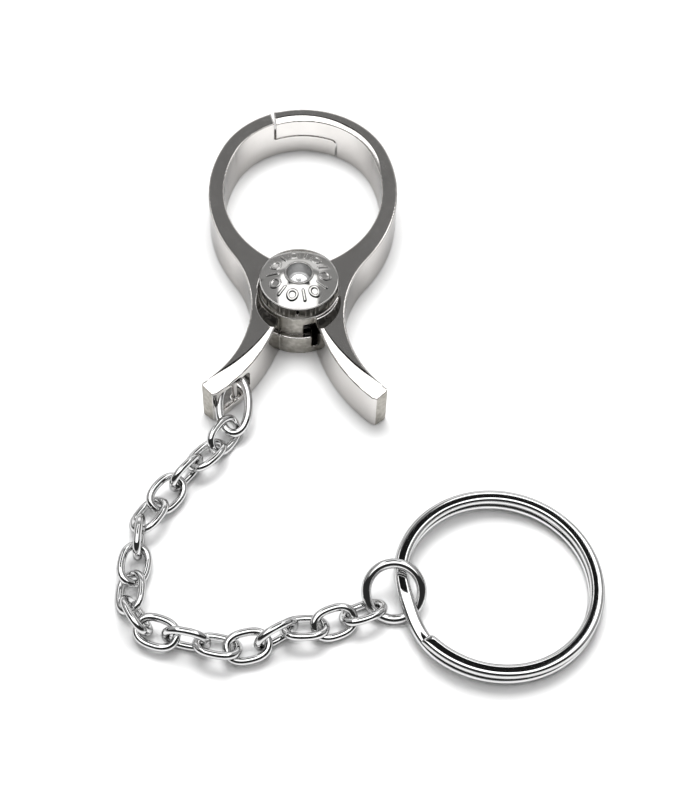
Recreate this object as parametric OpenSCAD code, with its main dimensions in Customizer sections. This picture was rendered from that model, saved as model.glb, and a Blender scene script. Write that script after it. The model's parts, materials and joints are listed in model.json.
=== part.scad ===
// Key ring: a sprung ring clip, a short cable chain, a jump ring and a split ring.
// Origin: on the pivot axis of the clip, on the plane that the key ring lies on.
// +Z is up and +Y points from the pivot to the head of the clip's ring.

/* [Clip] */
// Height of both arms, which is the thickness of the clip
arm_h = 7.5; // [6.8:0.1:8.2]
// Thickness of the ring's wall around its head
band = 2.5; // [2:0.1:2.8]
// Running gap between the two arms
gap = 0.08; // [0.06:0.01:0.12]
// Radius of the spring's chamber in the two lugs
chamber_r = 4.6; // [4.4:0.1:4.8]
// Depth of the scooped crescents beside the cap, in the tops of the arms
relief = 0.35; // [0.2:0.05:0.5]
// Slope of the strip along the inner edge of each handle, as drop over width
crown_slope = 0.32; // [0.2:0.02:0.4]

/* [Pivot] */
// Radius of the lower lug, on the left arm
lower_lug_r = 6.95; // [6.7:0.05:7]
// Radius of the upper lug, on the right arm
upper_lug_r = 6.15; // [6.1:0.05:6.3]
// Radius of the rivet's shank
shank_r = 1.5; // [1.2:0.1:1.7]
// Radius of the rivet's countersunk head
rivet_head_r = 2.6; // [2.2:0.1:3]
// Radius of the domed cap
cap_r = 6.1; // [5.8:0.1:6.1]
// Height of the cap's upright rim
cap_rim_h = 2.15; // [1.8:0.05:2.4]
// Rise of the cap's dome above its rim
cap_dome_h = 1.5; // [1.2:0.1:1.7]
// Radius of the recess in the middle of the cap
recess_r = 1.85; // [1.75:0.05:2]

/* [Spring] */
// Wire diameter of the torsion spring
spring_wire = 0.8; // [0.7:0.05:0.85]
// Radius of the spring's coil to the middle of its wire
spring_r = 3.75; // [3.6:0.05:3.8]

/* [Attachment link] */
// Wire diameter of the attachment link
attach_wire = 1.3; // [1.2:0.05:1.3]
// Outer length of the attachment link
attach_len = 10.1; // [10.05:0.05:10.15]
// Outer width of the attachment link
attach_w = 5.7; // [5.6:0.05:5.8]

/* [Chain] */
// Wire diameter of the chain links
link_wire = 1.15; // [1.05:0.05:1.15]
// Outer length of a chain link
link_len = 6.95; // [6.9:0.05:7]
// Outer width of a chain link
link_w = 5; // [4.9:0.05:5.1]

/* [Rings] */
// Wire diameter of the jump ring
jump_wire = 1.4; // [1.3:0.05:1.4]
// Outer diameter of the jump ring
jump_d = 9.2; // [9.1:0.05:9.3]
// Width of the split ring's wire, across the ring
split_w = 2.1; // [2:0.05:2.2]
// Height of one turn of the split ring
split_h = 1.4; // [1.3:0.05:1.45]

/* [Hidden] */
$fn = 72;

steel = [0.72, 0.72, 0.73];
bright = [0.85, 0.85, 0.86];

// The clip's outline is made of arcs that meet smoothly, the same on both sides.
head_c = [0, 24.2];
head_r = 12;
head_out = head_r + band;
head_end = 22.9;
side_c = [-8.75, 20.5];
side_out = 24;
side_in = 21.5;
waist_c = [25.7, -4.4];
waist_r = 18.5;
waist_top = 143.9;
low_c = [-4.45, 20.5];
low_r = 17.2;
grip_c = [28.5, 0.3];
grip_r = 26.4;
tip_out = [13.7, -18.8];
tip_in = [11.8, -20.1];
seam = arm_h / 2;
over = 1;

// Middle and radius of the scooped crescents
crescent_y = -2.6;
crescent_r = 6.5;
// The strips on the arms are cut by cones. Each is a circle of the outline, moved by this much.
handle_strip_move = [-0.9, 4];
head_strip_move = [-0.2, 0.35];
handle_strip_w = 4;
head_strip_w = 0.75;
head_strip_slope = 0.34;

// Ends of the half-lapped tongues at the top of the ring
upper_end = [[-5.5, 37.8], [-4.8, 34.2]];
upper_stop = [[-5.9, 38.5], [-5.8, 37.05], [-4.98, 34.2], [-4.93, 33]];
lower_end_x = 5.05;
lower_stop_x = 5.2;
tongue_r = 0.8;

// Middle of the link's slot on the inner face of the left handle, and the direction along the slot
slot_mid = [-8.95, -17.43];
slot_turn = 48.85;
slot_len = 6.8;
slot_z = 3.55;
slot_h = 4.6;
post_depth = 0.82;
post_shift = 0.6;
post_r = 0.42;

function arc(c, r, a, b, n) = [for (i = [0 : n]) let (t = a + (b - a) * i / n)
    [c[0] + r * cos(t), c[1] + r * sin(t)]];

// Outline of the right arm, counterclockwise from the outer corner of the handle's tip
function arm_outline(top_end) = concat(
    [tip_out + [-0.25, -0.32], tip_out + [0.05, 0.1]],
    arc(waist_c, waist_r, 230, waist_top, 26),
    arc(side_c, side_out, -34, head_end, 17),
    arc(head_c, head_out, head_end + 3, 108, 26),
    top_end,
    arc(head_c, head_r - 0.5, 107, 19, 22),
    arc(side_c, side_in, 20, 0, 6),
    arc(low_c, low_r, 0 - 4, -58, 15),
    [[4.2, 5.2], [2.2, 0], [2.9, -6.6]],
    arc(grip_c, grip_r, 198.3, 230, 14),
    [tip_in + [0.05, 0.15], tip_in + [0.35, -0.08]]);

module arm_plate(top_end) {
    linear_extrude(arm_h) polygon(arm_outline(top_end));
}

// The scooped crescent that is cut from the tops of both arms, round the seat of the cap
module crescent() {
    difference() {
        translate([0, crescent_y, arm_h - relief])
            cylinder(r1 = crescent_r - 1, r2 = crescent_r, h = relief + 0.01);
        translate([0, 0, seam]) cylinder(r = upper_lug_r + 0.1, h = arm_h);
    }
}

// Section of a conical cut that starts at the radius r and drops over the width w
module cone_section(r, w, drop) {
    polygon([[r, 0], [r + w, -drop], [r + w, over], [r, over]]);
}

// The sloped strip along the inner edge of a handle, narrow at the lug and as wide as the handle at its tip
module handle_crown() {
    difference() {
        translate(concat(grip_c + handle_strip_move, arm_h)) rotate_extrude(angle = 60, start = 186)
            cone_section(grip_r, handle_strip_w, handle_strip_w * crown_slope);
        translate([0, 0, seam]) cylinder(r = upper_lug_r + 0.1, h = arm_h);
    }
}

// The sloped strip along the inner top edge of the right arm, widest at the end of its tongue
module head_crown() {
    translate(concat(head_c + head_strip_move, arm_h)) rotate_extrude(angle = 130, start = -15)
        cone_section(head_r + head_strip_w, -head_strip_w - over, (head_strip_w + over) * head_strip_slope);
}

// What lies outside the rounded upper corner of the lower tongue's end
module outside_corner(x, z, r) {
    difference() {
        translate([x - r, 30, z - r]) cube([r + over, 12, r + over]);
        translate([x - r, 29, z - r]) rotate([-90, 0, 0]) cylinder(r = r, h = 14, $fn = 48);
    }
}

module ring_hole() {
    translate([head_c[0], head_c[1], -over]) cylinder(r = head_r, h = arm_h + 2 * over);
}

// An opening with rounded corners in the XZ plane, cut along +Y
module slot(len, h, deep) {
    r = 1.3;
    rotate([-90, 0, 0]) linear_extrude(deep) union() {
        square([len - 2 * r, h], center = true);
        square([len, h - 2 * r], center = true);
        for (x = [-1, 1]) for (y = [-1, 1])
            translate([x * (len / 2 - r), y * (h / 2 - r)]) circle(r = r);
    }
}

module at_slot(depth) {
    translate([slot_mid[0], slot_mid[1], 0]) rotate([0, 0, slot_turn]) translate([0, depth, 0]) children();
}

module left_arm() {
    color(steel) {
        difference() {
            union() {
                difference() {
                    mirror([1, 0, 0]) arm_plate([[-5.6, 37.8], [-5.6, 34]]);
                    translate([0, 0, seam - gap / 2]) cylinder(r = upper_lug_r + 0.1, h = arm_h);
                }
                cylinder(r = lower_lug_r, h = seam - gap / 2);
            }
            ring_hole();
            // Room for the right arm's tongue, and the end of the left arm's own tongue
            translate([0, 0, seam - gap / 2]) linear_extrude(arm_h)
                polygon(concat(upper_stop, [[12, 33], [12, 42]]));
            translate([lower_end_x, 30, -over]) cube([9, 12, arm_h + 2 * over]);
            outside_corner(lower_end_x, seam - gap / 2, tongue_r);
            crescent();
            mirror([1, 0, 0]) handle_crown();
            translate([0, 0, 1.25]) cylinder(r = chamber_r, h = arm_h);
            translate([0, 0, -over]) cylinder(r = shank_r, h = arm_h);
            translate([0, 0, -0.01]) cylinder(r1 = rivet_head_r + 0.01, r2 = shank_r, h = 1.01);
            translate([2.2, -7.5, 1.3]) cube([1.1, 5, arm_h]);
            // Pocket for the spring's lower leg
            translate([0, spring_r - 0.5, 1.25]) cube([4.6, 1, 1.1]);
            at_slot(-over) translate([0, 0, slot_z]) slot(slot_len, slot_h, 6);
            // The slot's edge is rounded away where the link bears on it
            at_attachment() oval_link(attach_len + 0.5, attach_w + 0.5, attach_wire + 0.5);
        }
        at_slot(post_depth) translate([post_shift, 0, 1]) cylinder(r = post_r, h = 5.2, $fn = 32);
    }
}

module right_arm() {
    color(steel) difference() {
        union() {
            difference() {
                arm_plate(upper_end);
                translate([0, 0, -over]) cylinder(r = lower_lug_r + 0.1, h = over + seam + gap / 2);
            }
            translate([0, 0, seam + gap / 2]) cylinder(r = upper_lug_r, h = arm_h - seam - gap / 2);
        }
        ring_hole();
        difference() {
            translate([lower_stop_x - 20, 30, -over]) cube([20, 12, over + seam + gap / 2]);
            outside_corner(lower_stop_x, seam + gap / 2, tongue_r + gap);
        }
        crescent();
        handle_crown();
        head_crown();
        translate([0, 0, -over]) cylinder(r = chamber_r, h = over + 6);
        translate([0, 0, -over]) cylinder(r = shank_r + 0.05, h = arm_h + 2 * over);
        translate([0.9, -7.5, -over]) cube([2.1, 5, over + 6]);
        // Pocket for the spring's upper leg
        translate([-4.6, spring_r - 0.5, 4.9]) cube([4.6, 1, 1.1]);
    }
}

module pivot_rivet() {
    color(steel) union() {
        cylinder(r = shank_r, h = arm_h + gap + 1.8);
        cylinder(r1 = rivet_head_r, r2 = shank_r, h = 1);
    }
}

module pivot_cap() {
    color(steel) translate([0, 0, arm_h + gap]) difference() {
        union() {
            cylinder(r = cap_r, h = cap_rim_h);
            // The dome is part of a ball that rises from a fine step inside the rim
            translate([0, 0, cap_rim_h]) rotate_extrude() polygon(concat([[0, -0.2], [cap_r - 0.2, -0.2]],
                [for (i = [0 : 8]) let (r = cap_r - 0.2 - (cap_r - 0.2 - 2.1) * i / 8)
                    [r, cap_dome_h * (1 - (r * r - 4.41) / ((cap_r - 0.2) * (cap_r - 0.2) - 4.41))]],
                [[0, cap_dome_h]]));
            translate([0, 0, cap_rim_h + cap_dome_h]) rotate_extrude()
                translate([2.1, -0.05]) circle(r = 0.2);
        }
        translate([0, 0, 1.8]) cylinder(r = recess_r, h = 4);
        translate([0, 0, -over]) cylinder(r = shank_r, h = 4);
    }
}

// A wire with a flat-sided section that follows a list of points; each point has its own section
module sweep(rings) {
    n = len(rings);
    m = len(rings[0]);
    points = [for (ring = rings) for (p = ring) p];
    sides = [for (i = [0 : n - 2]) for (j = [0 : m - 1]) let (a = i * m + j, b = i * m + (j + 1) % m)
        each [[a, b, b + m], [a, b + m, a + m]]];
    ends = [[for (j = [m - 1 : -1 : 0]) j], [for (j = [0 : m - 1]) (n - 1) * m + j]];
    polyhedron(points = points, faces = concat(sides, ends), convexity = 10);
}

spring_turns = 4;
spring_low = 1.25 + 0.08 + spring_wire / 2;
spring_high = 6 - 0.08 - spring_wire / 2;
spring_steps = 16 * spring_turns;
spring_leg = 4.3;

// Section of the spring's wire at angle t of the coil, moved by x along the leg
function spring_ring(t, z, x) = [for (j = [0 : 5]) let (
    r = spring_r + spring_wire / 2 * cos(60 * j), w = spring_wire / 2 * sin(60 * j))
    [r * cos(t) + x, r * sin(t), z + w]];

module torsion_spring() {
    rise = spring_high - spring_low;
    color(steel) sweep(concat(
        [spring_ring(90, spring_low, spring_leg)],
        [for (i = [0 : spring_steps]) let (a = i / spring_steps)
            spring_ring(90 + 360 * spring_turns * a, spring_low + rise * a, 0)],
        [spring_ring(90, spring_high, -spring_leg)]));
}

// An oval link of round wire, lying flat with its length along X
module oval_link(len, w, wire) {
    r = (w - wire) / 2;
    s = (len - w) / 2;
    for (e = [-1, 1]) {
        translate([e * s, 0, 0]) rotate([0, 0, -90 * e]) rotate_extrude(angle = 180)
            translate([r, 0]) circle(d = wire);
        translate([-s, e * r, 0]) rotate([0, 90, 0]) cylinder(d = wire, h = 2 * s);
    }
}

// The attachment link lies in the slot behind the post and slopes down to the first chain link.
attach_heading = -88;
attach_slope = 19;
attach_reach = post_r + attach_wire / 2 + 0.05;
attach_post = slot_mid + post_depth * [-sin(slot_turn), cos(slot_turn)]
    + post_shift * [cos(slot_turn), sin(slot_turn)];
attach_top = [attach_post[0] - attach_reach * cos(attach_heading),
    attach_post[1] - attach_reach * sin(attach_heading), 4.44 + attach_reach * tan(attach_slope)];
attach_half = (attach_len - attach_wire) / 2;

module at_attachment() {
    translate(attach_top) rotate([0, attach_slope, attach_heading]) translate([attach_half, 0, 0])
        children();
}

module attachment_link() {
    color(bright) at_attachment() oval_link(attach_len, attach_w, attach_wire);
}

// How each chain link lies: where it points, its turn about its length, its nose-up tilt, its height
headings = [-121, -129, -127, -125, -119, -91, -97, -88, -58, -19, -10, -10, 14, 33, 6, 23, 24];
rolls = [-53, 25, 90, -27, 25, 90, -24, 31, -60, 21, 86, -26, 23, 90, -23, 30, -34];
tilts = [2, 1, 0, -2, 1, 0, -2, 0, 0, 2, -1, -1, 3, 0, -2, 0, 0];
heights = [2.15, 2.05, 2.5, 2.1, 2, 2.5, 2.1, 1.85, 2.3, 2.1, 2.5, 2.05, 1.95, 2.5, 2, 1.8, 1.7];
chain_start = [-10.26, -24.19];
link_pitch = link_len - 2 * link_wire - 0.32;
bend_loss = 1.3;

function link_step(a, b) = (link_pitch - bend_loss * (1 - cos(b - a))) / 2
    * [cos(a) + cos(b), sin(a) + sin(b)];
function link_xy(k) = k == 0 ? chain_start : link_xy(k - 1) + link_step(headings[k - 1], headings[k]);

module chain_link(number) {
    k = number - 1;
    c = link_xy(k);
    color(bright) translate([c[0], c[1], heights[k]]) rotate([rolls[k], -tilts[k], headings[k]])
        oval_link(link_len, link_w, link_wire);
}

module chain_link_01() { chain_link(1); }
module chain_link_02() { chain_link(2); }
module chain_link_03() { chain_link(3); }
module chain_link_04() { chain_link(4); }
module chain_link_05() { chain_link(5); }
module chain_link_06() { chain_link(6); }
module chain_link_07() { chain_link(7); }
module chain_link_08() { chain_link(8); }
module chain_link_09() { chain_link(9); }
module chain_link_10() { chain_link(10); }
module chain_link_11() { chain_link(11); }
module chain_link_12() { chain_link(12); }
module chain_link_13() { chain_link(13); }
module chain_link_14() { chain_link(14); }
module chain_link_15() { chain_link(15); }
module chain_link_16() { chain_link(16); }
module chain_link_17() { chain_link(17); }

// The jump ring leans on the last link and on the split ring.
jump_xy = link_xy(16) + [4.23, 2.82];
jump_lean = 34;
jump_r = (jump_d - jump_wire) / 2;
jump_z = jump_wire / 2 + jump_r * sin(jump_lean);

module jump_ring() {
    color(bright) translate([jump_xy[0], jump_xy[1], jump_z]) rotate([jump_lean, 0, 0])
        rotate_extrude() translate([jump_r, 0]) circle(d = jump_wire);
}

// The split ring is one wire that runs round twice, with a step down where the jump ring sits.
split_out = 15;
split_xy = jump_xy + [14.65, 2.1];
split_start = 222;
split_end = 890;
step_from = 546;
step_to = 583;
split_steps = 96;
split_gap = 0.04;
split_lean = 2.35;

function smooth(a) = let (t = min(1, max(0, a))) t * t * (3 - 2 * t);
function split_ring_at(t) = let (
    down = smooth((t - step_from) / (step_to - step_from)),
    bow = 0.55 * smooth(1 - abs(t - 560) / 34),
    r = split_out - split_w / 2 - bow,
    z = split_h / 2 + (split_h + split_gap) * (1 - down),
    section = [[1, 0.2], [0.84, 0.66], [0.64, 0.93], [0.35, 1], [-0.35, 1], [-0.64, 0.93],
        [-0.84, 0.66], [-1, 0.2], [-1, -0.2], [-0.84, -0.66], [-0.64, -0.93], [-0.35, -1],
        [0.35, -1], [0.64, -0.93], [0.84, -0.66], [1, -0.2]])
    [for (p = section) [(r + p[0] * split_w / 2) * cos(t), (r + p[0] * split_w / 2) * sin(t),
        z + p[1] * split_h / 2]];

module split_ring() {
    color(bright) translate([split_xy[0], split_xy[1], split_out * sin(split_lean)])
        rotate([0, split_lean, 0]) sweep([for (i = [0 : split_steps])
            split_ring_at(split_start + (split_end - split_start) * i / split_steps)]);
}

left_arm();
right_arm();
pivot_rivet();
pivot_cap();
torsion_spring();
attachment_link();
chain_link_01();
chain_link_02();
chain_link_03();
chain_link_04();
chain_link_05();
chain_link_06();
chain_link_07();
chain_link_08();
chain_link_09();
chain_link_10();
chain_link_11();
chain_link_12();
chain_link_13();
chain_link_14();
chain_link_15();
chain_link_16();
chain_link_17();
jump_ring();
split_ring();
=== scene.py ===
"""Looks of the key ring: a sprung ring clip, a chain of oval links, a jump ring and a split ring."""
import json
import math

import bmesh
import bpy
import numpy as np
from mathutils import Matrix, Vector


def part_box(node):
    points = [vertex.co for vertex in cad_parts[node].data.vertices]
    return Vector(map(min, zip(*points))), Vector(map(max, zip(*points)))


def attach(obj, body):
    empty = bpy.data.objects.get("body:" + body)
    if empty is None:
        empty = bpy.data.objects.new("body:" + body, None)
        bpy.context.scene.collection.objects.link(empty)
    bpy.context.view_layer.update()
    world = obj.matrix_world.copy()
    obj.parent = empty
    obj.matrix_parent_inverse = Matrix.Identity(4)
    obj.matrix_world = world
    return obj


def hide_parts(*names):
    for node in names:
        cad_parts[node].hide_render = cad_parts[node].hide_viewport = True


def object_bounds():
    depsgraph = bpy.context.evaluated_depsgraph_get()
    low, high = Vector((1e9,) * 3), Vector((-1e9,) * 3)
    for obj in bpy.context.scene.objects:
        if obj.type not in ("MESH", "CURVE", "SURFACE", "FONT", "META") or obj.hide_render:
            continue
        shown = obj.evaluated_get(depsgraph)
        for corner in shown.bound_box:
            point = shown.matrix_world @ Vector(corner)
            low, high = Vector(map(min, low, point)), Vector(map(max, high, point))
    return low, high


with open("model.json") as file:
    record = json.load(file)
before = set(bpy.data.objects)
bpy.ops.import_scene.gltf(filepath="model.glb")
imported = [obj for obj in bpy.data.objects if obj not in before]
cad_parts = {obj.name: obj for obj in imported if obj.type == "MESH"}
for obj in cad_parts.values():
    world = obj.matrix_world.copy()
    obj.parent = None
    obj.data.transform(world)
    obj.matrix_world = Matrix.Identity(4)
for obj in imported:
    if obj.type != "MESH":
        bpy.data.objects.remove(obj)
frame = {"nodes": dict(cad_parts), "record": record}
cad_low, cad_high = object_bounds()

MM = 0.001
BODY_OF = {n: b for b, nodes in frame["record"]["behaviour"]["bodies"].items() for n in nodes}
SLOT_OF = {s["node"]: s["material_slot"] for s in frame["record"]["subparts"]}


# ---------------------------------------------------------------- camera

# The camera looks down at the key ring from the side of the handles.
CAMERA_ELEVATION = 54.63
CAMERA_AZIMUTH = 1.49
CAMERA_ROLL = 2.9
CAMERA_DISTANCE = 254.5 * MM
CAMERA_LENS = 75.0
# The point it looks at, as a share of the key ring's length and width from the pivot
LOOK_AT_X = 0.1215
LOOK_AT_Y = -0.153


def add_camera():
    size = cad_high - cad_low
    target = Vector((LOOK_AT_X * size.x, LOOK_AT_Y * size.y, 0))
    elevation, azimuth = math.radians(CAMERA_ELEVATION), math.radians(CAMERA_AZIMUTH)
    forward = Vector((
        math.sin(azimuth) * math.cos(elevation),
        math.cos(azimuth) * math.cos(elevation),
        -math.sin(elevation)))
    camera = bpy.data.objects.new("camera", bpy.data.cameras.new("camera"))
    bpy.context.scene.collection.objects.link(camera)
    turn = forward.to_track_quat("-Z", "Y").to_matrix() @ Matrix.Rotation(math.radians(CAMERA_ROLL), 3, "Z")
    camera.matrix_world = Matrix.Translation(target - forward * CAMERA_DISTANCE) @ turn.to_4x4()
    camera.data.lens = CAMERA_LENS
    camera.data.sensor_width = 36
    camera.data.clip_start = 0.01
    camera.data.clip_end = 20
    bpy.context.scene.camera = camera


# ---------------------------------------------------------------- materials

# Where the metal is satin and its colour holds painted light: painted shade on the lugs, out from the pivot's
# axis, and on the handles' ends, from this place towards the viewer; a painted highlight in the cap's recess,
# out from the axis; a painted dark reflection on the cap's rim, beyond this distance from the axis
LUG_REACH = 7.1 * MM
TIP_FROM_Y = -17.5 * MM
RECESS_REACH = 1.9 * MM
RIM_REACH = 5.8 * MM
# How rough the satin places are, and the darkest and lightest tones of their painted shade, painted highlight
# and painted dark reflection
WORN_ROUGHNESS = 0.42
RIM_ROUGHNESS = 0.3
NICKEL_SATIN_PAINTED_SHADE = ((0.36, 0.345, 0.31), (0.52, 0.5, 0.465))
RECESS_PAINTED_HIGHLIGHT = ((0.7, 0.7, 0.7), (0.8, 0.8, 0.8))
RIM_PAINTED_DARK_REFLECTION = ((0.21, 0.205, 0.19), (0.25, 0.24, 0.225))
# How fine each texture of the metal is, in features per metre
TONE_FINENESS = 180
RIPPLE_FINENESS = 260
GRAIN_FINENESS = 1400
MOTTLE_FINENESS = 1500
SCRATCH_FINENESS = 9000
# How deep the scratches and the ripple left by polishing are
SCRATCH_DEPTH = 0.01 * MM
RIPPLE_DEPTH = 0.1 * MM


def new_material(name):
    material = bpy.data.materials.new(name)
    material.use_nodes = True
    nodes = material.node_tree.nodes
    return material, nodes, material.node_tree.links, nodes["Principled BSDF"]


def calc(nodes, links, operation, *values):
    """A maths node's result. Each value is a number or another node's output."""
    node = nodes.new("ShaderNodeMath")
    node.operation = operation
    for socket, value in zip(node.inputs, values):
        if isinstance(value, (int, float)):
            socket.default_value = value
        else:
            links.new(value, socket)
    return node.outputs["Value"]


def rise(nodes, links, value, at, soft):
    """0 below the place and 1 above it, with a soft change."""
    spread = nodes.new("ShaderNodeMapRange")
    spread.interpolation_type = "SMOOTHSTEP"
    spread.inputs["From Min"].default_value = at - soft
    spread.inputs["From Max"].default_value = at + soft
    links.new(value, spread.inputs["Value"])
    return spread.outputs["Result"]


def noise(nodes, links, coordinates, scale, detail):
    """A noise texture with this many features per metre."""
    texture = nodes.new("ShaderNodeTexNoise")
    texture.inputs["Scale"].default_value = scale
    texture.inputs["Detail"].default_value = detail
    links.new(coordinates, texture.inputs["Vector"])
    return texture.outputs["Fac"]


def between(nodes, links, value, low, high):
    """Stretches a texture's value to the range low to high."""
    spread = nodes.new("ShaderNodeMapRange")
    spread.inputs["From Min"].default_value = 0.3
    spread.inputs["From Max"].default_value = 0.7
    spread.inputs["To Min"].default_value = low
    spread.inputs["To Max"].default_value = high
    links.new(value, spread.inputs["Value"])
    return spread.outputs["Result"]


def tint(nodes, links, value, dark, light):
    """A colour that drifts between dark and light with a texture's value."""
    ramp = nodes.new("ShaderNodeValToRGB")
    ramp.color_ramp.elements[0].position = 0.35
    ramp.color_ramp.elements[1].position = 0.65
    ramp.color_ramp.elements[0].color = (*dark, 1)
    ramp.color_ramp.elements[1].color = (*light, 1)
    links.new(value, ramp.inputs["Fac"])
    return ramp.outputs["Color"]


def apart(nodes, links, vector):
    """The three parts of a vector."""
    parts = nodes.new("ShaderNodeSeparateXYZ")
    links.new(vector, parts.inputs["Vector"])
    return [parts.outputs[axis] for axis in "XYZ"]


def less(nodes, links, value, at, soft):
    """1 below the place and 0 above it, with a soft change."""
    return calc(nodes, links, "SUBTRACT", 1.0, rise(nodes, links, value, at, soft))


def from_axis(nodes, links, x, y):
    """Distance from the pivot's axis."""
    square = calc(nodes, links, "MULTIPLY", x, x)
    return calc(nodes, links, "SQRT", calc(nodes, links, "MULTIPLY_ADD", y, y, square))


def arm_satin_and_painted_shade(nodes, links, place, normal):
    """Where an arm is satin and darkened with painted shade: the upright faces of the lugs, and the end face
    of the handle.
    """
    x, y = apart(nodes, links, place)[:2]
    nx, ny, nz = apart(nodes, links, normal)
    upright = less(nodes, links, calc(nodes, links, "ABSOLUTE", nz), 0.4, 0.2)
    near = less(nodes, links, from_axis(nodes, links, x, y), LUG_REACH, 0.1 * MM)
    lug = calc(nodes, links, "MULTIPLY", upright, near)
    outward = rise(nodes, links, calc(nodes, links, "MULTIPLY", nx, calc(nodes, links, "SIGN", x)), 0.25, 0.1)
    frontward = less(nodes, links, ny, -0.45, 0.1)
    end = calc(nodes, links, "MULTIPLY", outward, frontward)
    tip = calc(nodes, links, "MULTIPLY", end, less(nodes, links, y, TIP_FROM_Y, 0.2 * MM))
    return [(calc(nodes, links, "MAXIMUM", lug, tip), NICKEL_SATIN_PAINTED_SHADE, WORN_ROUGHNESS)]


def cap_painted_highlight_and_reflection(nodes, links, place, normal):
    """The cap is satin inside its recess and lightened there with a painted highlight, and its upright rim is
    darkened with a painted dark reflection.
    """
    x, y = apart(nodes, links, place)[:2]
    nz = apart(nodes, links, normal)[2]
    reach = from_axis(nodes, links, x, y)
    recess = less(nodes, links, reach, RECESS_REACH, 0.02 * MM)
    upright = less(nodes, links, calc(nodes, links, "ABSOLUTE", nz), 0.2, 0.1)
    rim = calc(nodes, links, "MULTIPLY", upright, rise(nodes, links, reach, RIM_REACH, 0.05 * MM))
    return [(recess, RECESS_PAINTED_HIGHLIGHT, WORN_ROUGHNESS), (rim, RIM_PAINTED_DARK_REFLECTION, RIM_ROUGHNESS)]


def blend(nodes, links, share, first, second, kind="FLOAT"):
    """A mix of two values or colours."""
    mix = nodes.new("ShaderNodeMix")
    mix.data_type = kind
    sockets = [socket for socket in mix.inputs if socket.enabled]
    for socket, value in zip(sockets, (share, first, second)):
        if isinstance(value, (int, float, tuple)):
            socket.default_value = value
        else:
            links.new(value, socket)
    return next(socket for socket in mix.outputs if socket.enabled)


def polished_metal(name, dark, light, rough, ripple, scratches, edge=0.3, satin_and_painted_light=None):
    """Plated metal with a slight drift of tone, a soft polish ripple and fine scratches.

    edge is the tint of glancing reflections: 1 leaves them bright. The last argument gives the places that
    are satin, with the tones of their painted shade, painted highlight and painted dark reflection.
    """
    material, nodes, links, shader = new_material(name)
    source = nodes.new("ShaderNodeTexCoord")
    place = source.outputs["Object"]
    shader.inputs["Metallic"].default_value = 1.0
    shader.inputs["Specular Tint"].default_value = (edge, edge, edge, 1)
    colour = tint(nodes, links, noise(nodes, links, place, TONE_FINENESS, 3), dark, light)
    grain = noise(nodes, links, place, GRAIN_FINENESS, 4)
    roughness = between(nodes, links, grain, rough * 0.7, rough * 1.4)
    # The satin places' colour is painted: painted shade on the arms, a painted highlight in the cap's recess,
    # a painted dark reflection on its rim
    for mask, tones, satin in satin_and_painted_light(nodes, links, place, source.outputs["Normal"]) if satin_and_painted_light else ():
        mottle = tint(nodes, links, noise(nodes, links, place, MOTTLE_FINENESS, 5), *tones)
        colour = blend(nodes, links, mask, colour, mottle, "RGBA")
        roughness = blend(nodes, links, mask, roughness, satin)
    links.new(colour, shader.inputs["Base Color"])
    links.new(roughness, shader.inputs["Roughness"])

    stretch = nodes.new("ShaderNodeMapping")
    stretch.inputs["Scale"].default_value = (1, 0.06, 0.4)
    stretch.inputs["Rotation"].default_value = (0.3, 0.2, 0.7)
    links.new(place, stretch.inputs["Vector"])
    fine = nodes.new("ShaderNodeBump")
    fine.inputs["Strength"].default_value = scratches
    fine.inputs["Distance"].default_value = SCRATCH_DEPTH
    links.new(noise(nodes, links, stretch.outputs["Vector"], SCRATCH_FINENESS, 2), fine.inputs["Height"])
    soft = nodes.new("ShaderNodeBump")
    soft.inputs["Strength"].default_value = ripple
    soft.inputs["Distance"].default_value = RIPPLE_DEPTH
    links.new(noise(nodes, links, place, RIPPLE_FINENESS, 1), soft.inputs["Height"])
    links.new(fine.outputs["Normal"], soft.inputs["Normal"])
    links.new(soft.outputs["Normal"], shader.inputs["Normal"])
    return material


def pale_floor_material():
    material, nodes, links, shader = new_material("pale_floor")
    place = nodes.new("ShaderNodeTexCoord").outputs["Object"]
    tone = tint(nodes, links, noise(nodes, links, place, 30, 2), (0.9, 0.9, 0.9), (0.92, 0.92, 0.92))
    links.new(tone, shader.inputs["Base Color"])
    shader.inputs["Roughness"].default_value = 0.9
    shader.inputs["Specular IOR Level"].default_value = 0.1
    return material


MATERIALS = {
    "arm_plating": polished_metal(
        "warm_nickel", (0.7, 0.68, 0.66), (0.76, 0.74, 0.72),
        rough=0.09, ripple=0.12, scratches=0.25, edge=0.6, satin_and_painted_light=arm_satin_and_painted_shade),
    "cap_plating": polished_metal(
        "cap_nickel", (0.5, 0.495, 0.48), (0.56, 0.55, 0.54),
        rough=0.1, ripple=0.1, scratches=0.2, edge=0.4, satin_and_painted_light=cap_painted_highlight_and_reflection),
    "rivet_steel": polished_metal(
        "rivet_steel", (0.85, 0.85, 0.85), (0.92, 0.92, 0.92), rough=0.22, ripple=0.1, scratches=0.6),
    "spring_steel": polished_metal(
        "spring_steel", (0.3, 0.3, 0.3), (0.38, 0.38, 0.38), rough=0.3, ripple=0.05, scratches=0.5),
    "chain_plating": polished_metal(
        "chain_silver", (0.7, 0.7, 0.7), (0.78, 0.78, 0.78),
        rough=0.07, ripple=0.08, scratches=0.15, edge=0.05),
    "ring_plating": polished_metal(
        "ring_silver", (0.7, 0.7, 0.7), (0.78, 0.78, 0.78),
        rough=0.05, ripple=0.04, scratches=0.15, edge=0.08),
}


# ---------------------------------------------------------------- making pieces

# How square the ovals are: 2 is an ellipse
LINK_POWER = 2.4
ATTACHMENT_POWER = 2.1
# The larger link's bead of solder: how much thicker the wire is there, and its share of the way round
BEAD_SWELL = 0.2
BEAD_AT = 0.4
BEAD_SPREAD = 0.03
# Points round a link, round the jump ring and round their wire
LINK_STEPS = 120
RING_STEPS = 160
WIRE_SIDES = 28
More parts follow.
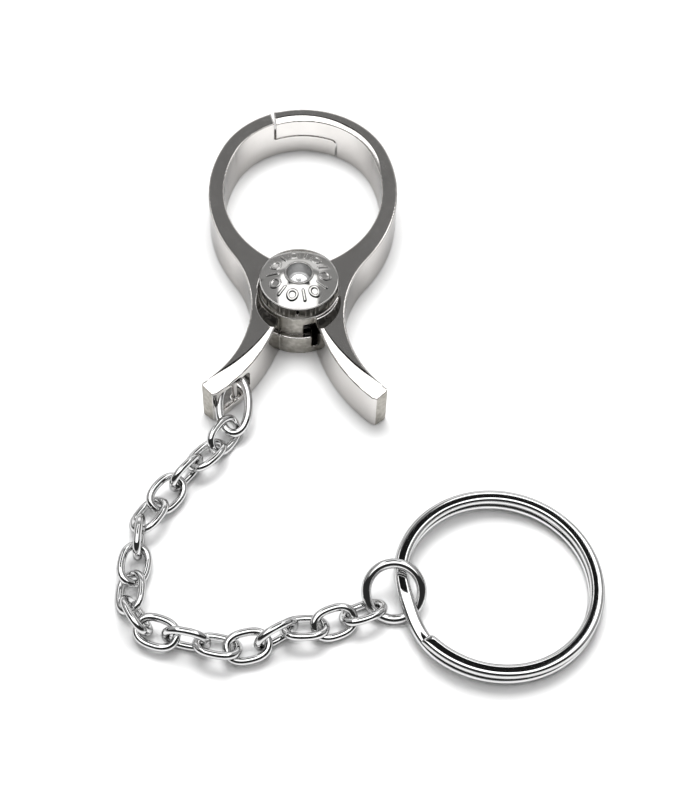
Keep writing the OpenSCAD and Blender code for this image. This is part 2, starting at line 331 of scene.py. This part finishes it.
# The arms' mesh, in millimetres, and how often it is smoothed to round its edges
ARM_MESH = 0.12
ARM_ROUNDS = 4
# How often the swept wires are subdivided
SPRING_LEVELS = 2
SPLIT_RING_LEVELS = 3
# Points closer than this are one point, in millimetres
SAME_POINT = 0.001


def triangles_of(node):
    """Corners of the triangles of a CAD node, in metres, as an array of n x 3 x 3."""
    mesh = frame["nodes"][node].data
    mesh.calc_loop_triangles()
    places = np.empty(len(mesh.vertices) * 3)
    mesh.vertices.foreach_get("co", places)
    corners = np.empty(len(mesh.loop_triangles) * 3, int)
    mesh.loop_triangles.foreach_get("vertices", corners)
    return places.reshape(-1, 3)[corners].reshape(-1, 3, 3)


def solid_axes(node):
    """Where a CAD solid lies: its middle, its axes from longest to shortest, and its size along them."""
    t = triangles_of(node)
    volumes = np.einsum("ij,ij->i", t[:, 0], np.cross(t[:, 1], t[:, 2])) / 6
    centre = np.einsum("i,ij->j", volumes, t.sum(1) / 4) / volumes.sum()
    t = t - centre
    volumes = np.einsum("ij,ij->i", t[:, 0], np.cross(t[:, 1], t[:, 2])) / 6
    total = t.sum(1)
    spread = np.einsum("i,ij,ik->jk", volumes, total, total)
    spread += np.einsum("i,ivj,ivk->jk", volumes, t, t)
    axes = np.linalg.eigh(spread)[1][:, ::-1].T
    if np.linalg.det(axes) < 0:
        axes[2] *= -1
    along = t.reshape(-1, 3) @ axes.T
    low, high = along.min(0), along.max(0)
    return centre + (low + high) / 2 @ axes, axes, high - low


def finish_piece(piece, node):
    """The piece stands for a CAD node: it rides on its body and takes its finish."""
    piece.data.materials.clear()
    piece.data.materials.append(MATERIALS[SLOT_OF[node]])
    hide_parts(node)
    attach(piece, BODY_OF[node])
    return piece


def mesh_piece(name, points, faces):
    mesh = bpy.data.meshes.new(name)
    mesh.from_pydata([tuple(p) for p in points], [], faces)
    mesh.validate()
    for face in mesh.polygons:
        face.use_smooth = True
    piece = bpy.data.objects.new(name, mesh)
    bpy.context.scene.collection.objects.link(piece)
    return piece


def tube_faces(rings, sides):
    """Quads between rings of points, where the last ring joins the first."""
    faces = []
    for i in range(rings):
        here, ahead = i * sides, (i + 1) % rings * sides
        for j in range(sides):
            k = (j + 1) % sides
            faces.append((here + j, here + k, ahead + k, ahead + j))
    return faces


def closed_tube(name, path, across, up, radii):
    """A closed wire: at each point of the path a circle of its own radius, spanned by across and up."""
    angles = np.linspace(0, 2 * math.pi, WIRE_SIDES, endpoint=False)
    rings = [p + r * (np.outer(np.cos(angles), a) + np.outer(np.sin(angles), u))
             for p, a, u, r in zip(path, across, up, radii)]
    return mesh_piece(name, np.concatenate(rings), tube_faces(len(path), WIRE_SIDES))


def oval_path(length, width, power, steps):
    """Points and outward directions round an oval with slightly bulging sides."""
    turns = np.linspace(0, 2 * math.pi, steps, endpoint=False)
    x, y = np.cos(turns), np.sin(turns)
    a, b = length / 2, width / 2
    reach = (np.abs(x / a) ** power + np.abs(y / b) ** power) ** (-1 / power)
    points = np.stack([x * reach, y * reach], 1)
    half = np.array([a, b])
    outward = np.sign(points) * np.abs(points / half) ** (power - 1) / half
    return points, outward / np.linalg.norm(outward, axis=1)[:, None]


def oval_link(node, power, swell=0.0):
    """A link of round wire in the place of a CAD node. Its wire may swell at a bead of solder."""
    middle, axes, size = solid_axes(node)
    wire = size[2]
    points, outward = oval_path(size[0] - wire, size[1] - wire, power, LINK_STEPS)
    share = np.arange(len(points)) / len(points)
    radii = wire / 2 * (1 + swell * np.exp(-((share - BEAD_AT) / BEAD_SPREAD) ** 2))
    path = middle + points @ axes[:2]
    across = outward @ axes[:2]
    up = np.repeat(axes[2][None, :], len(path), 0)
    return finish_piece(closed_tube(node + "_wire", path, across, up, radii), node)


def round_ring(node):
    """A closed ring of round wire in the place of a CAD node."""
    middle, axes, size = solid_axes(node)
    wire = size[2]
    turns = np.linspace(0, 2 * math.pi, RING_STEPS, endpoint=False)
    outward = np.outer(np.cos(turns), axes[0]) + np.outer(np.sin(turns), axes[1])
    reach = (size[0] + size[1]) / 4 - wire / 2
    up = np.repeat(axes[2][None, :], len(turns), 0)
    radii = np.full(len(turns), wire / 2)
    return finish_piece(closed_tube(node + "_wire", middle + outward * reach, outward, up, radii), node)


def applied(piece):
    """Turns a piece's modifiers into its mesh."""
    graph = bpy.context.evaluated_depsgraph_get()
    mesh = bpy.data.meshes.new_from_object(piece.evaluated_get(graph))
    piece.modifiers.clear()
    piece.data = mesh
    for face in mesh.polygons:
        face.use_smooth = True
    return piece


def cad_copy(node, name):
    """A copy of a CAD node's mesh in millimetres, with its doubled points joined."""
    mesh = bpy.data.meshes.new(name)
    made = bmesh.new()
    made.from_mesh(frame["nodes"][node].data)
    for point in made.verts:
        point.co *= 1 / MM
    bmesh.ops.remove_doubles(made, verts=made.verts, dist=SAME_POINT)
    made.to_mesh(mesh)
    made.free()
    mesh.materials.clear()
    piece = bpy.data.objects.new(name, mesh)
    bpy.context.scene.collection.objects.link(piece)
    return piece


def soft_edged(node, name):
    """A CAD solid with its edges polished round: a fine even mesh, smoothed."""
    piece = cad_copy(node, name)
    remesh = piece.modifiers.new("even", "REMESH")
    remesh.mode = "VOXEL"
    remesh.voxel_size = ARM_MESH
    smooth = piece.modifiers.new("polish", "SMOOTH")
    smooth.factor = 0.5
    smooth.iterations = ARM_ROUNDS
    applied(piece)
    piece.data.transform(Matrix.Scale(MM, 4))
    return finish_piece(piece, node)


def smooth_sweep(node, name, levels):
    """A CAD sweep with its triangles joined into quads and rounded by subdivision."""
    piece = cad_copy(node, name)
    made = bmesh.new()
    made.from_mesh(piece.data)
    bmesh.ops.join_triangles(
        made, faces=made.faces, angle_face_threshold=math.radians(50), angle_shape_threshold=math.radians(80))
    made.to_mesh(piece.data)
    made.free()
    rounding = piece.modifiers.new("round", "SUBSURF")
    rounding.levels = levels
    rounding.render_levels = levels
    applied(piece)
    piece.data.transform(Matrix.Scale(MM, 4))
    return finish_piece(piece, node)


def turned(name, profile, turns, shape=None):
    """A turned piece about the pivot's axis. The profile runs from the axis out and back, as (radius, z)."""
    points = [(0, 0, profile[0][1])]
    angles = np.linspace(0, 2 * math.pi, turns, endpoint=False)
    for r, z in profile[1:-1]:
        lift = np.zeros(turns) if shape is None else shape(r, angles)
        points += [(r * math.cos(a), r * math.sin(a), z + h) for a, h in zip(angles, lift)]
    points.append((0, 0, profile[-1][1]))
    last = len(points) - 1
    rings = len(profile) - 2
    faces = [(0, 1 + (j + 1) % turns, 1 + j) for j in range(turns)]
    for i in range(rings - 1):
        for j in range(turns):
            a, b = 1 + i * turns + j, 1 + i * turns + (j + 1) % turns
            faces.append((a, b, b + turns, a + turns))
    first = 1 + (rings - 1) * turns
    faces += [(last, first + j, first + (j + 1) % turns) for j in range(turns)]
    piece = mesh_piece(name, points, faces)
    made = bmesh.new()
    made.from_mesh(piece.data)
    bmesh.ops.recalc_face_normals(made, faces=made.faces)
    made.to_mesh(piece.data)
    made.free()
    for face in piece.data.polygons:
        face.use_smooth = True
    return piece


def rounded(x, z, r, start):
    """A quarter turn of radius r about (x, z), as five steps from the angle start, in degrees."""
    angles = [math.radians(start + 90 * i / 5) for i in range(6)]
    return [(x + r * math.cos(a), z + r * math.sin(a)) for a in angles]


# ---------------------------------------------------------------- the cap and the rivet

# The cap: how round its edges are, the height of its rim, and how far in the dome starts
CAP_EDGE = 0.12 * MM
CAP_RIM_H = 2.15 * MM
DOME_INSET = 0.2 * MM
DOME_STEPS = 60
# The bead round the recess: its middle, how far it stands above the dome, and its outer foot
CAP_BEAD_R = 2.1 * MM
BEAD_H = 0.15 * MM
BEAD_FOOT = 0.2 * MM
# The recess, and how far the rivet's end stands above its floor
CAP_RECESS_R = 1.85 * MM
RECESS_EDGE = 0.1 * MM
RIVET_PROUD = 0.1 * MM
# The raised marks: how many, the middle of their band and its inner and outer radius
MARKS = 14
MARK_MIDDLE_R = 4.0 * MM
MARKS_FROM_R = 2.5 * MM
MARKS_TO_R = 5.5 * MM
# Their height, the radius of a circle, half the length of a bar, half their width and their side's slope
MARK_HEIGHT = 0.13 * MM
CIRCLE_R = 0.7 * MM
BAR_REACH = 0.75 * MM
MARK_REACH = 0.24 * MM
MARK_SIDE = 0.12 * MM
# The rivet: its shank, the height of its countersunk head, its upper edge, and how deep its end is dished
SHANK_R = 1.5 * MM
RIVET_HEAD_H = 1.0 * MM
RIVET_EDGE = 0.15 * MM
DIMPLE = 0.36 * MM
# Points round the cap and round the rivet
CAP_TURNS = 360
RIVET_TURNS = 96


def cap_marks(r, angles):
    """Raised marks round the dome: small open circles and short bars by turns."""
    if not MARKS_FROM_R < r < MARKS_TO_R:
        return np.zeros(len(angles))
    step = 2 * math.pi / MARKS
    number = np.round(angles / step)
    sideways = (angles - number * step) * r
    outward = r - MARK_MIDDLE_R
    circle = np.abs(np.hypot(sideways, outward) - CIRCLE_R)
    bar = np.hypot(sideways, np.maximum(np.abs(outward) - BAR_REACH, 0))
    distance = np.where(number % 2 == 0, circle, bar)
    side = np.clip((MARK_REACH - distance) / MARK_SIDE, 0, 1)
    return MARK_HEIGHT * side * side * (3 - 2 * side)


def dome_height(r, dome_r):
    """The dome's height at the radius r, from 0 at its edge to 1 at the bead."""
    return 1 - (r * r - CAP_BEAD_R ** 2) / (dome_r ** 2 - CAP_BEAD_R ** 2)


def make_cap():
    """The cap: a rim, a dome with raised marks, a bead, and a recess round the rivet's end."""
    low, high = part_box("pivot_cap")
    out, bottom, top = high.x, low.z, high.z
    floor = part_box("pivot_rivet")[1].z - RIVET_PROUD
    rim = bottom + CAP_RIM_H
    dome_r = out - DOME_INSET
    dome_top = top - BEAD_H
    reaches = [dome_r - (dome_r - CAP_BEAD_R) * i / DOME_STEPS for i in range(DOME_STEPS - 1)]
    profile = [(0, bottom), (out * 0.3, bottom), (out - CAP_EDGE, bottom)]
    profile += rounded(out - CAP_EDGE, bottom + CAP_EDGE, CAP_EDGE, -90)
    profile += [(out, rim - 0.5 * CAP_EDGE)]
    profile += rounded(out - CAP_EDGE, rim - CAP_EDGE, CAP_EDGE, 0)
    profile += [(r, rim + (dome_top - rim) * dome_height(r, dome_r)) for r in reaches]
    profile += [(CAP_BEAD_R + BEAD_FOOT, dome_top - 0.02 * MM), (CAP_BEAD_R + 0.14 * MM, top - 0.05 * MM)]
    profile += [(CAP_BEAD_R, top), (CAP_BEAD_R - 0.12 * MM, top - 0.03 * MM)]
    profile += [(CAP_RECESS_R, top - 0.16 * MM), (CAP_RECESS_R, floor + RECESS_EDGE)]
    profile += [(CAP_RECESS_R - RECESS_EDGE, floor), (0.6 * MM, floor - DIMPLE), (0, floor - DIMPLE)]
    return finish_piece(turned("cap_shell", profile, CAP_TURNS, cap_marks), "pivot_cap")


def make_rivet():
    """The rivet, with a countersunk head underneath and its upper end dished where it was set."""
    low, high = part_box("pivot_rivet")
    head, bottom, top = high.x, low.z, high.z
    edge = RIVET_EDGE
    profile = [(0, bottom), (head * 0.5, bottom)]
    profile += [(head - 0.1 * MM, bottom), (head - 0.03 * MM, bottom + 0.06 * MM)]
    profile += [(SHANK_R, bottom + RIVET_HEAD_H), (SHANK_R, top - edge)]
    profile += [(SHANK_R - edge * 0.3, top - edge * 0.3), (SHANK_R - edge, top)]
    profile += [(SHANK_R - 2 * edge, top - 0.4 * edge)]
    profile += [(0.05 * MM, top - DIMPLE), (0, top - DIMPLE)]
    return finish_piece(turned("rivet_body", profile, RIVET_TURNS), "pivot_rivet")


# ---------------------------------------------------------------- stage and light

FLOOR_SIZE = 8.0
# The softbox that lights the floor hangs behind the key ring, so shadows fall towards the viewer.
LIGHT_AT = (-0.02, 0.16, 0.42)
LIGHT_SIZE = (0.28, 0.2)
LIGHT_RADIANCE = 10.5

# The room that the metal mirrors is dark above a pale horizon.
ROOM_SHADE = 0.03
HORIZON = 0.45
HORIZON_UP_TO = 0.16
# Each entry is a patch of the ceiling or of the back wall, and later ones cover earlier ones: low x, high x,
# low y, high y, softness of the edge, brightness. On the ceiling x and y are in heights of the ceiling above
# the floor. On the wall they are in distances to the wall.
WALL = [(-1.2, 1.2, 0.0, 0.926, 0.05, 0.45), (-0.58, 0.58, 0.33, 0.926, 0.03, 1.2)]
CEILING = [(-2.5, 2.5, -0.15, 1.3, 0.1, 0.4), (-0.6, 0.55, -0.4, 0.85, 0.04, 2.2),
           (-0.33, 0.3, 0.27, 0.7, 0.015, 0.012), (-0.33, 0.12, 0.69, 1.08, 0.025, 0.19)]


def add_floor():
    """A plain pale floor at the lowest point of the key ring."""
    half = FLOOR_SIZE / 2
    corners = [(-half, -half, 0), (half, -half, 0), (half, half, 0), (-half, half, 0)]
    floor = mesh_piece("floor", corners, [(0, 1, 2, 3)])
    floor.data.materials.append(pale_floor_material())
    floor.location.z = cad_low.z


def add_top_light():
    """The softbox that lights the floor. The metal mirrors the room's ceiling in its place."""
    light = bpy.data.lights.new("top_light", "AREA")
    light.shape = "RECTANGLE"
    light.size, light.size_y = LIGHT_SIZE
    light.energy = LIGHT_RADIANCE * math.pi * light.size * light.size_y
    lamp = bpy.data.objects.new("top_light", light)
    lamp.location = LIGHT_AT
    lamp.rotation_euler.x = -math.atan2(LIGHT_AT[1], LIGHT_AT[2])
    lamp.visible_glossy = False
    bpy.context.scene.collection.objects.link(lamp)


def cover(nodes, links, under, x, y, facing, patch):
    """Paints one soft-edged patch over the brightness under it."""
    low_x, high_x, low_y, high_y, soft, level = patch
    mask = rise(nodes, links, facing, 0.03, 0.02)
    for value, low, high in ((x, low_x, high_x), (y, low_y, high_y)):
        mask = calc(nodes, links, "MULTIPLY", mask, rise(nodes, links, value, low, soft))
        mask = calc(nodes, links, "MULTIPLY", mask, less(nodes, links, value, high, soft))
    change = calc(nodes, links, "SUBTRACT", level, under)
    return calc(nodes, links, "MULTIPLY_ADD", mask, change, under)


def add_room():
    """The surroundings that the metal mirrors: the horizon, a back wall behind and a ceiling above."""
    world = bpy.data.worlds.new("room")
    bpy.context.scene.world = world
    world.use_nodes = True
    nodes, links = world.node_tree.nodes, world.node_tree.links
    x, y, z = apart(nodes, links, nodes.new("ShaderNodeTexCoord").outputs["Generated"])
    low = less(nodes, links, z, HORIZON_UP_TO, 0.06)
    level = calc(nodes, links, "MULTIPLY_ADD", low, HORIZON - ROOM_SHADE, ROOM_SHADE)
    for patches, facing, up in ((WALL, y, z), (CEILING, z, y)):
        distance = calc(nodes, links, "MAXIMUM", facing, 0.01)
        across = calc(nodes, links, "DIVIDE", x, distance)
        along = calc(nodes, links, "DIVIDE", up, distance)
        for patch in patches:
            level = cover(nodes, links, level, across, along, facing, patch)
    background = nodes["Background"]
    background.inputs["Color"].default_value = (1, 1, 1, 1)
    links.new(level, background.inputs["Strength"])


# ---------------------------------------------------------------- the key ring

add_camera()
add_floor()
add_top_light()
add_room()
bpy.context.scene.view_settings.view_transform = "Standard"

soft_edged("left_arm", "left_arm_plated")
soft_edged("right_arm", "right_arm_plated")
make_cap()
make_rivet()
smooth_sweep("torsion_spring", "torsion_spring_wire", SPRING_LEVELS)
oval_link("attachment_link", ATTACHMENT_POWER, BEAD_SWELL)
for node in sorted(frame["nodes"]):
    if node.startswith("chain_link_"):
        oval_link(node, LINK_POWER)
round_ring("jump_ring")
smooth_sweep("split_ring", "split_ring_wire", SPLIT_RING_LEVELS)
